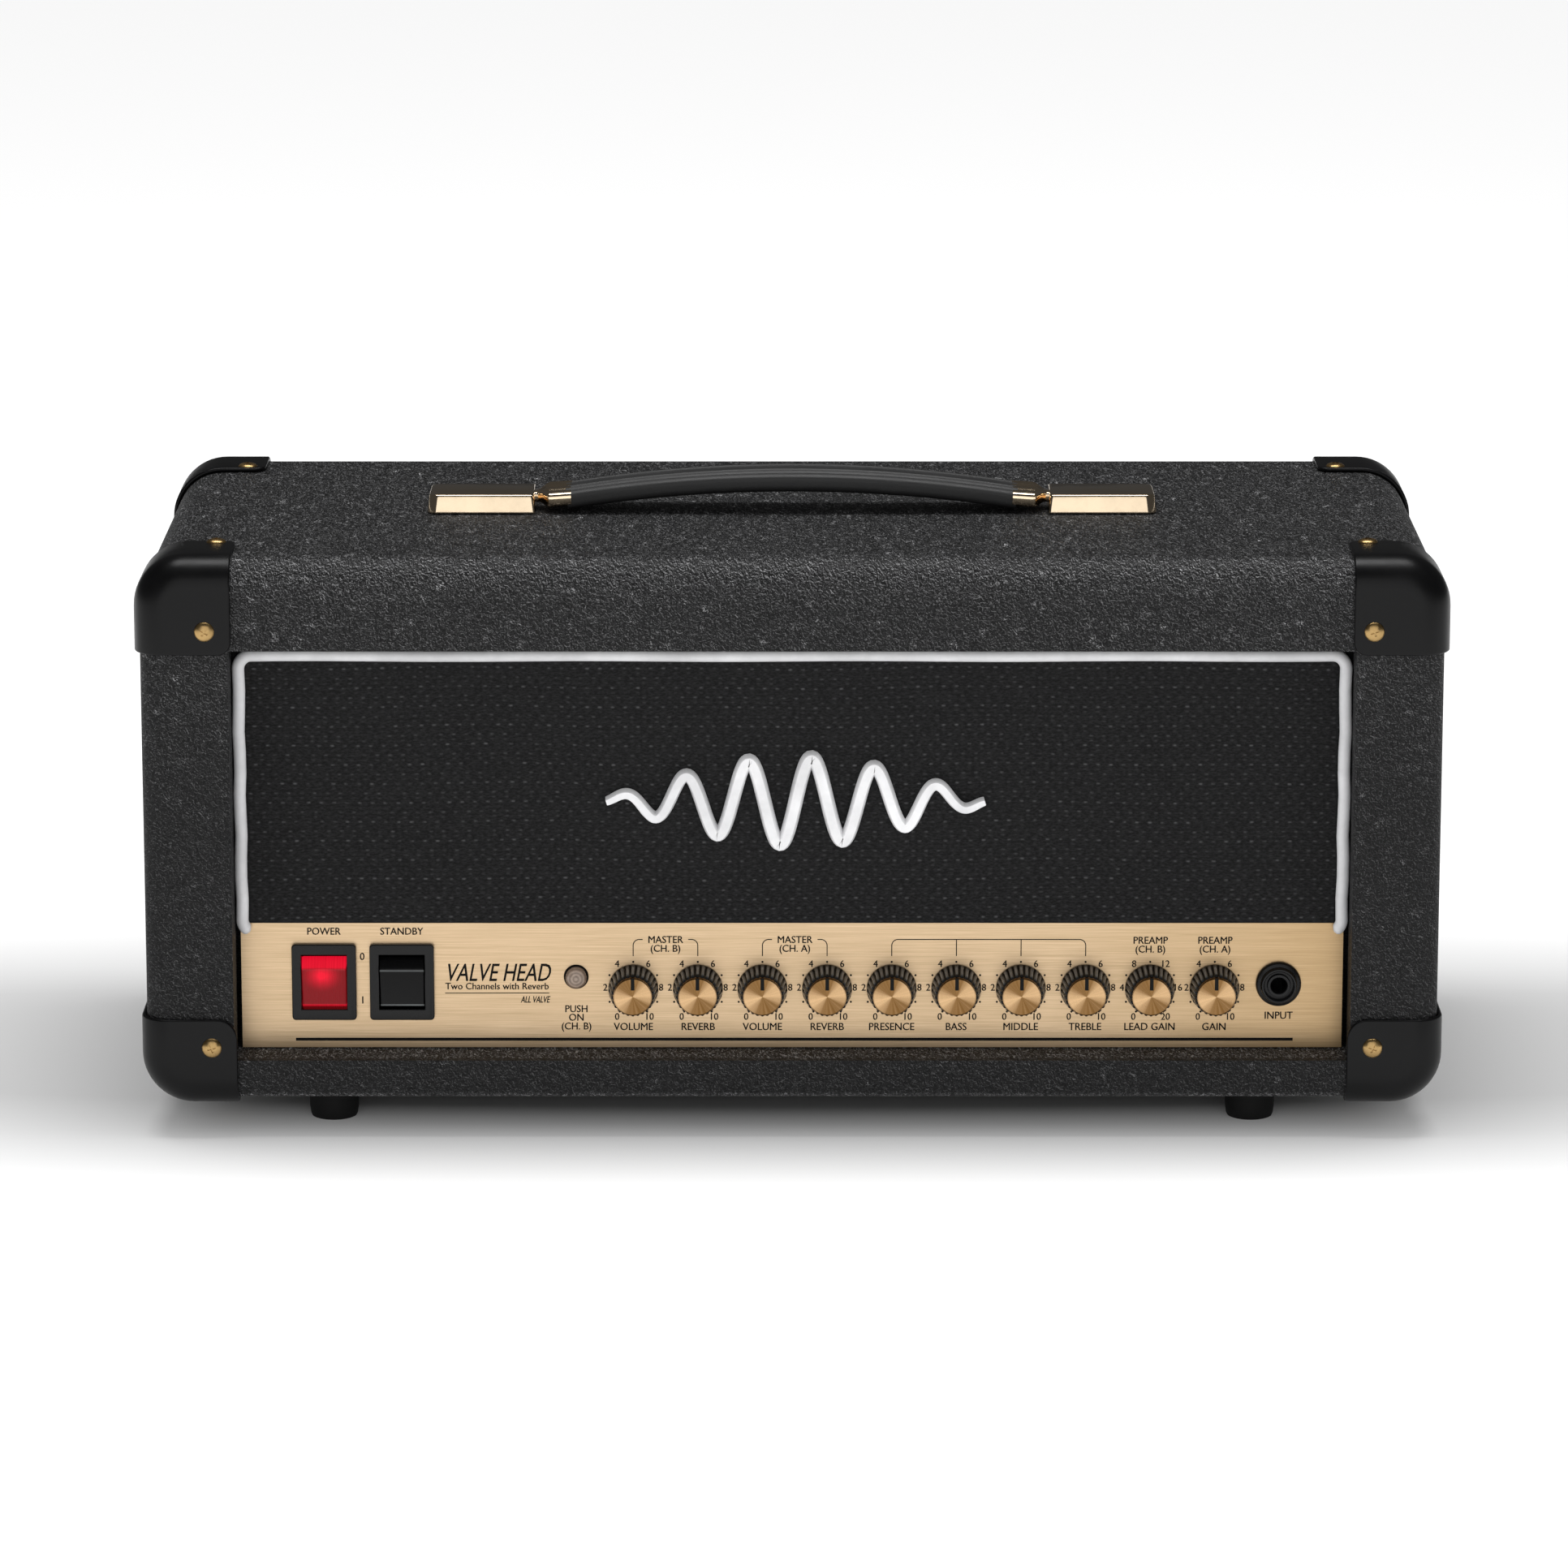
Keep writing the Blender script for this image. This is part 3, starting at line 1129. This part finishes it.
handle_caps()
handle_strap()
corner_screws()
feet()


# ---------------- back
CHASSIS_BACK = 0.097
REAR_CENTRE = 0.0525
MAINS_INLET = -0.170
REAR_JACKS = (-0.040, -0.012, 0.016, 0.060, 0.088, 0.150)
LOOP_BUTTON = 0.119
DECK = PANEL_TOP - 0.0008
VENT_HALF = 0.150
VENT_LOW = 0.105
VENT_HIGH = 0.185
NICKEL = plated_look("nickel_plating", (0.62, 0.60, 0.56), 0.16, 0.00002)
SOCKET = moulded_look("socket_plastic", (0.006, 0.006, 0.0062), 0.36)
NICKEL_PART = ("chassis_steel", NICKEL)
SOCKET_PART = ("jack_plastic", SOCKET)


def add_prism(bm, outline, near, far):
    """A straight solid on an outline of (x, z) points, between two depths."""
    return add_rings(bm, [[(x, y, z) for x, z in outline] for y in (near, far)])


def vent_plate():
    """Painted steel with two columns of nine round-ended slots, behind the board's window."""
    margin_x, margin_z = 0.010, 0.009
    low = (-VENT_HALF - margin_x, 0.0965, VENT_LOW - margin_z)
    plate = box("slotted_plate", low, (VENT_HALF + margin_x, 0.0977, VENT_HIGH + margin_z))
    slots = bmesh.new()
    for row in range(9):
        level = (VENT_LOW + VENT_HIGH) / 2 + 0.0085 * (row - 4)
        for middle in (-0.075, 0.075):
            right = arc(middle + 0.0665, level, 0.0015, -90, 90, 8)
            add_prism(slots, right + arc(middle - 0.0665, level, 0.0015, 90, 270, 8), 0.090, 0.104)
    plate = cut(plate, from_bm("slots", slots))
    bevel(plate, 0.0002, 2, 50)
    plate = settle(plate)
    plate.data.shade_flat()
    piece(plate, "vent_steel", VENT_STEEL, "vent_grille")


def back_board():
    """The covered board with its window and vent plate, held by eight screws in cup washers."""
    inner = INNER_SIDE - GAP
    board = box("covered_back", (-inner, 0.098, DECK + 0.006), (inner, 0.110, CEILING - GAP))
    window = box("window", (-VENT_HALF, 0, VENT_LOW), (VENT_HALF, OUT, VENT_HIGH))
    board = cut(board, window)
    bevel(board, 0.0016, 4, 50)
    piece(settle(board), "vinyl_board", VINYL, "back_panel")
    vent_plate()
    head = screw_master("board_screw", 0.0036, 0.0016)
    places = [((x, 0.1101, z), BACKWARD) for x in (-0.2215, -0.1, 0.1, 0.2215) for z in (0.0955, 0.1985)]
    place_screws("board_screw", head, places, *NICKEL_PART)
    rim = [(0.0056, -0.0004), (0.0056, 0.0001), (0.0051, 0.0004)]
    washer = [(0.0, 0.0), (0.0, -0.0004)] + rim + [(0.0, 0.0004)]
    washers = bmesh.new()
    for where, turn in places:
        lathe(washer, where, turn, 32, washers)
    make("cup_washers", washers, 40, *NICKEL_PART)


def chassis_screws():
    ends = [(x, z) for x in (-0.2000, 0.2000) for z in (0.0370, 0.0680)]
    places = [((x, CHASSIS_BACK, z), BACKWARD) for x, z in ends + [(-0.115, 0.0720), (0.190, 0.0720)]]
    head = screw_master("chassis_screw", 0.0029, 0.0013, 0.0006)
    place_screws("chassis_screw", head, places, *NICKEL_PART)


def rear_jack(number, x):
    """A hexagonal nut on its washer, a threaded bush and the contact inside."""
    place = (x, CHASSIS_BACK, REAR_CENTRE)
    bore, radius, low, high, chamfer = 0.0049, 0.0074, 0.0018, 0.0032, 0.0004
    flank = [(radius, low), (radius, high - chamfer), (radius - chamfer, high)]
    nut = [(bore, low)] + flank + [(bore, high), (bore, low)]
    washer = [(0.0036, 0.0016), (0.0071, 0.0016), (0.0071, 0.0018), (0.0036, 0.0018), (0.0036, 0.0016)]
    metal = lathe(nut, place, BACKWARD @ Matrix.Rotation(0.35 * (number - 1), 4, "Z"), 6)
    make(f"socket_nut_{number}", lathe(washer, place, BACKWARD, 40, metal), 30, *NICKEL_PART)
    bush = [(0.0034, -0.0150), (0.0034, 0.0036), (0.0037, 0.0040), (0.0044, 0.0040), (0.0048, 0.0036)]
    for thread in range(6):
        bush += [(0.0048, 0.0034 - 0.0005 * thread), (0.00455, 0.00315 - 0.0005 * thread)]
    bush += [(0.0048, -0.0005), (0.0055, -0.0010), (0.0055, -0.0165)]
    bush += [(0.0, -0.0165), (0.0, -0.0150), (0.0034, -0.0150)]
    make(f"socket_bush_{number}", lathe(bush, place, BACKWARD, 40), 35, *SOCKET_PART)
    low = (x - 0.0008, CHASSIS_BACK - 0.0140, REAR_CENTRE - 0.0033)
    high = (x + 0.0008, CHASSIS_BACK - 0.0020, REAR_CENTRE - 0.0028)
    make(f"socket_contact_{number}", add_box(bmesh.new(), low, high, 0.0001, 1), 30, *NICKEL_PART)


def rear_sockets():
    """The jack plate with its jacks, and the loop button."""
    margin_x, margin_z = 0.0185, 0.0130
    low = (REAR_JACKS[0] - margin_x, CHASSIS_BACK + GAP, REAR_CENTRE - margin_z)
    high = (REAR_JACKS[-1] + margin_x, CHASSIS_BACK + 0.0016, REAR_CENTRE + margin_z)
    plate = box("socket_plate", low, high)
    holes = bmesh.new()
    for x, radius in [(x, 0.0056) for x in REAR_JACKS] + [(LOOP_BUTTON, 0.0046)]:
        lathe(disc(radius, -0.004, 0.004), (x, CHASSIS_BACK, REAR_CENTRE), BACKWARD, bm=holes)
    plate = cut(plate, from_bm("holes", holes))
    bevel(plate, 0.0004, 3, 50)
    piece(settle(plate), *SOCKET_PART, "rear_jack_plate")
    for i, x in enumerate(REAR_JACKS):
        rear_jack(i + 1, x)
    crown = [(0.0, 0.0052), (0.0032, 0.0052), (0.0039, 0.0049), (0.0042, 0.0043)]
    cap = crown + [(0.0042, -0.0130), (0.0, -0.0130)]
    place = Matrix.Translation((LOOP_BUTTON, CHASSIS_BACK, REAR_CENTRE)) @ BACKWARD
    button = ("loop_button_cap", lathe(cap), 40, "black_plastic", BLACK, "loop_button")
    make(*button, body="loop_button", place=place)


def mains_socket():
    """The inlet's flange and body, its three pins, the fuse drawer and two screws."""
    x, level = MAINS_INLET, REAR_CENTRE
    face = CHASSIS_BACK + 0.0022
    flange = box("inlet_flange", *around(x, level, 0.025, 0.0170, CHASSIS_BACK + GAP, face))
    weighted_bevel(flange, 0.0055, 6)
    body = box("body", *around(x, level, 0.0137, 0.0154, face - 0.030, face - 0.001))
    flange = boolean(settle(flange), "UNION", body)
    right = [(0.0120, -0.0035), (0.0120, 0.0085), (0.0075, 0.0130)]
    outline = [(-0.0120, -0.0035)] + right + [(-0.0075, 0.0130), (-0.0120, 0.0085)]
    spaces = add_prism(bmesh.new(), [(x + a, level + b) for a, b in outline], face - 0.0170, face + 0.01)
    add_box(spaces, (x - 0.0116, face - 0.0220, level - 0.0130), (x + 0.0116, face + 0.01, level - 0.0060))
    flange = cut(flange, from_bm("spaces", spaces))
    bevel(flange, 0.0004, 3, 50)
    piece(settle(flange), *SOCKET_PART, "mains_inlet")
    pins = bmesh.new()
    for dx, dz in ((-0.007, 0.0025), (0.007, 0.0025), (0.0, 0.0065)):
        add_box(pins, *around(x + dx, level + dz, 0.0010, 0.0020, face - 0.0172, face - 0.0030), 0.0003)
    make("inlet_pins", pins, 30, *NICKEL_PART)
    drawer_level = level - 0.0095
    front = around(x, drawer_level, 0.0112, 0.0031, face - 0.0200, face - 0.0004)
    grip = around(x, drawer_level, 0.0050, 0.0015, face - 0.002, face + 0.0012)
    drawer = boolean(box("drawer_front", *front, 0.0005), "UNION", box("grip", *grip, 0.0005))
    piece(drawer, *SOCKET_PART, "fuse_drawer", body="fuse_drawer")
    head = screw_master("inlet_screw", 0.0030, 0.0012, 0.0006)
    places = [((x + side * 0.0200, face, level), BACKWARD) for side in (-1, 1)]
    place_screws("inlet_screw", head, places, *NICKEL_PART)


def rear_print():
    ink = Print(CHASSIS_BACK + 0.00005, 1)
    label, heading, foot = (REAR_CENTRE + rise for rise in (0.0160, 0.0212, 0.0185))
    ink.text("MAINS INPUT", MAINS_INLET, REAR_CENTRE + 0.0205, 0.0026)
    for x, words in zip(REAR_JACKS, ("16 OHM", "8 OHM", "8 OHM", "SEND", "RETURN", "FOOTSWITCH")):
        ink.text(words, x, label, 0.0022)
    ink.text("LOOP", LOOP_BUTTON, label, 0.0022)
    for left, right, words in ((-0.050, 0.026, "LOUDSPEAKERS"), (0.050, 0.128, "EFFECTS LOOP")):
        middle = (left + right) / 2
        ink.text(words, middle, heading, 0.0026)
        for start, end in ((left, middle - 0.017), (middle + 0.017, right)):
            ink.line([(start, heading), (end, heading)], 0.0004)
        for x in (left, right):
            ink.line([(x, heading), (x, foot)], 0.0004)
    ink.done("rear_print", "chassis_steel")


back_board()
chassis_screws()
rear_sockets()
mains_socket()
rear_print()


# ---------------- valves and transformers
def glass_look():
    """Clear glass, smoked at the height of the power valves' crowns."""
    clear = (0.97, 0.98, 0.98)
    look = Look("clear_glass", clear, 0.03, Transmission_Weight=1.0, IOR=1.47)
    smoke = look.place().axis("Z").spread(DECK + 0.080, DECK + 0.095)
    return look.finish(
        (look.noise(120.0), 0.00003, 0.3),
        Base_Color=smoke.blend(clear, (0.30, 0.31, 0.32)),
        Roughness=look.noise(60.0, 3.0).spread(0.3, 0.7, 0.02, 0.06),
    )


CLEAR_GLASS = glass_look()
ELECTRODE = steel_look("electrode_plate", (0.10, 0.10, 0.105), 0.5)
MICA = moulded_look("mica", (0.55, 0.52, 0.45), 0.4, 1500.0, 0.00003)
HEATER_GLOW = {"Emission_Color": (1.0, 0.30, 0.06), "Emission_Strength": 4.0}
GLOW = Look("heater_glow", (0.6, 0.12, 0.02), 0.5, **HEATER_GLOW).material
TAPE = moulded_look("winding_tape", (0.42, 0.30, 0.08), 0.35, 600.0, 0.00008)
END_BELL = moulded_look("end_bell", (0.010, 0.010, 0.0105), 0.32, 700.0, 0.00006)
DECK_TOP = DECK + GAP


def valve(name, x, y, radius, height, base_radius, base_height):
    """A glass envelope in its base, with the electrodes between two mica discs and a heater at each end."""
    place = (x, y, DECK_TOP)
    wall = 0.0007
    crown = radius * 0.8
    shoulder = height - crown
    outer = [(radius * math.cos(a), shoulder + crown * math.sin(a)) for a in np.radians(range(84, -1, -12))]
    inside, lower = radius - wall, crown - wall
    inner = [(inside * math.cos(a), shoulder + lower * math.sin(a)) for a in np.radians(range(0, 85, 12))]
    foot = [(radius, base_height + 0.0005), (inside, base_height + 0.0005)]
    envelope = [(0.0, height)] + outer + foot + inner + [(0.0, height - wall)]
    make(f"{name}_envelope", lathe(envelope, place), 60, "valve_glass", CLEAR_GLASS, name)
    base = [(0.0, 0.0), (base_radius - 0.0005, 0.0), (base_radius, 0.0005)]
    base += [(base_radius, base_height - 0.001), (base_radius - 0.0008, base_height), (0.0, base_height)]
    make(f"{name}_base", lathe(base, place), 40, "black_plastic", SOCKET)
    low, high = base_height + 0.006, shoulder - 0.006
    width, depth = radius * 0.62, radius * 0.42
    plates = bmesh.new()
    near, far = (x - width, y - depth, DECK_TOP + low), (x + width, y + depth, DECK_TOP + high)
    add_box(plates, near, far, radius * 0.2, 3)
    half, bottom, top = 0.0007, DECK_TOP + base_height, DECK_TOP + high + 0.004
    for rod in (x - width, x + width):
        add_box(plates, (rod - half, y - half, bottom), (rod + half, y + half, top))
    make(f"{name}_plates", plates, 40, "valve_glass", ELECTRODE)
    mica, heater = bmesh.new(), bmesh.new()
    for level in (low - 0.001, high + 0.001):
        lathe(disc(radius - 0.0016, level - 0.0003, level + 0.0003), place, steps=20, bm=mica)
    for level in (low - 0.0042, high + 0.0020):
        lathe(disc(0.0012, level, level + 0.0026), place, steps=12, bm=heater)
    make(f"{name}_mica", mica, 30, "valve_glass", MICA)
    make(f"{name}_heater", heater, 30, "valve_glass", GLOW)


def transformer(name, x, y, width, depth, height):
    """Laminations with the taped winding through them, a clamp and four bolts."""
    half = width / 2
    core = bmesh.new()
    sheets = 14
    for i in range(sheets):
        start = y - depth / 4 + depth / 2 * i / sheets
        far = (x + half, start + depth / 2 / sheets * 0.86, DECK_TOP + height)
        add_box(core, (x - half, start, DECK_TOP), far, 0.0003, 1)
    make(f"{name}_core", core, 30, "transformer", LAMINATION, name)
    near = (x - half * 0.68, y - depth / 2, DECK_TOP + height * 0.18)
    far = (x + half * 0.68, y + depth / 2, DECK_TOP + height * 0.82)
    make(f"{name}_winding", add_box(bmesh.new(), near, far, 0.0035, 4), 40, "transformer", TAPE)
    clamp = bmesh.new()
    near = (x - half, y - depth * 0.42, DECK_TOP)
    add_box(clamp, near, (x + half, y + depth * 0.42, DECK_TOP + 0.002), 0.0006)
    bolt = disc(0.0030, depth / 4 + 0.003, -depth / 4 - 0.003)
    for dx in (-0.88, 0.88):
        for level in (0.10, 0.90):
            lathe(bolt, (x + half * dx, y, DECK_TOP + height * level), BACKWARD, 6, clamp)
    make(f"{name}_clamp", clamp, 30, "transformer", END_BELL)


for i in range(2):
    valve(f"power_valve_{i + 1}", -0.050 + 0.060 * i, 0.030, 0.0155, 0.098, 0.0175, 0.024)
for i in range(3):
    valve(f"preamp_valve_{i + 1}", -0.035 + 0.050 * i, -0.045, 0.0105, 0.062, 0.0125, 0.010)
transformer("mains_transformer", -0.150, -0.010, 0.080, 0.075, 0.066)
transformer("output_transformer", 0.160, -0.010, 0.064, 0.060, 0.054)


# ---------------- stage
def stage():
    """A pale paper floor that lights itself away from the object, and a dim white world."""
    bm = bmesh.new()
    bmesh.ops.create_grid(bm, x_segments=2, y_segments=2, size=30.0)
    floor = from_bm("floor", bm)
    look = Look("floor_paper", (0.63, 0.63, 0.63), 0.9, Specular_IOR_Level=0.0)
    away = look.place((0.2, 1.0, 0.0), (0.0, -0.03, 0.0)).length()
    look.set(Emission_Color=(1.0, 1.0, 1.0), Emission_Strength=away.spread(0.10, 0.25, 0.0, 0.5))
    floor.data.materials.append(look.finish((look.noise(400.0, 3.0), 0.0001, 0.1)))
    world = bpy.data.worlds.new("studio")
    world.use_nodes = True
    background = world.node_tree.nodes["Background"]
    background.inputs["Color"].default_value = (1.0, 1.0, 1.0, 1.0)
    background.inputs["Strength"].default_value = 0.05
    bpy.context.scene.world = world


def lamp(name, kind, energy, where, aim, **settings):
    data = bpy.data.lights.new(name, kind)
    data.energy = energy
    for key, value in settings.items():
        setattr(data, key, value)
    obj = link(name, data, where)
    obj.rotation_euler = (Vector(aim) - Vector(where)).to_track_quat("-Z", "Y").to_euler()
    return obj


def lights():
    """A soft dome that no reflection sees, a box overhead and a wide low one in front."""
    dome = lamp("dome", "SUN", 1.9, (0.0, -0.9, 4.0), (0.0, 0.0, 0.1), angle=math.radians(170))
    dome.visible_glossy = False
    overhead, front = {"size": 1.9, "size_y": 0.8}, {"size": 3.2, "size_y": 2.0}
    lamp("overhead_box", "AREA", 34.0, (0.0, 0.15, 2.3), (0.0, 0.0, 0.1), shape="RECTANGLE", **overhead)
    lamp("front_box", "AREA", 22.0, (0.0, -3.3, 1.0), (0.0, 0.0, 0.3), shape="RECTANGLE", **front)


def camera():
    """A long lens a little above the object, straight in front."""
    data = bpy.data.cameras.new("camera")
    data.lens = 162.0
    data.sensor_width = 36.0
    aim = Vector((-0.0031, 0.0, 0.1137))
    tilt = math.radians(12.8)
    distance = 2.80
    obj = link("camera", data, aim + distance * Vector((0.0, -math.cos(tilt), math.sin(tilt))))
    obj.rotation_euler = (math.pi / 2 - tilt, 0.0, 0.0)
    bpy.context.scene.camera = obj


stage()
lights()
camera()
bpy.context.scene.view_settings.view_transform = "Standard"
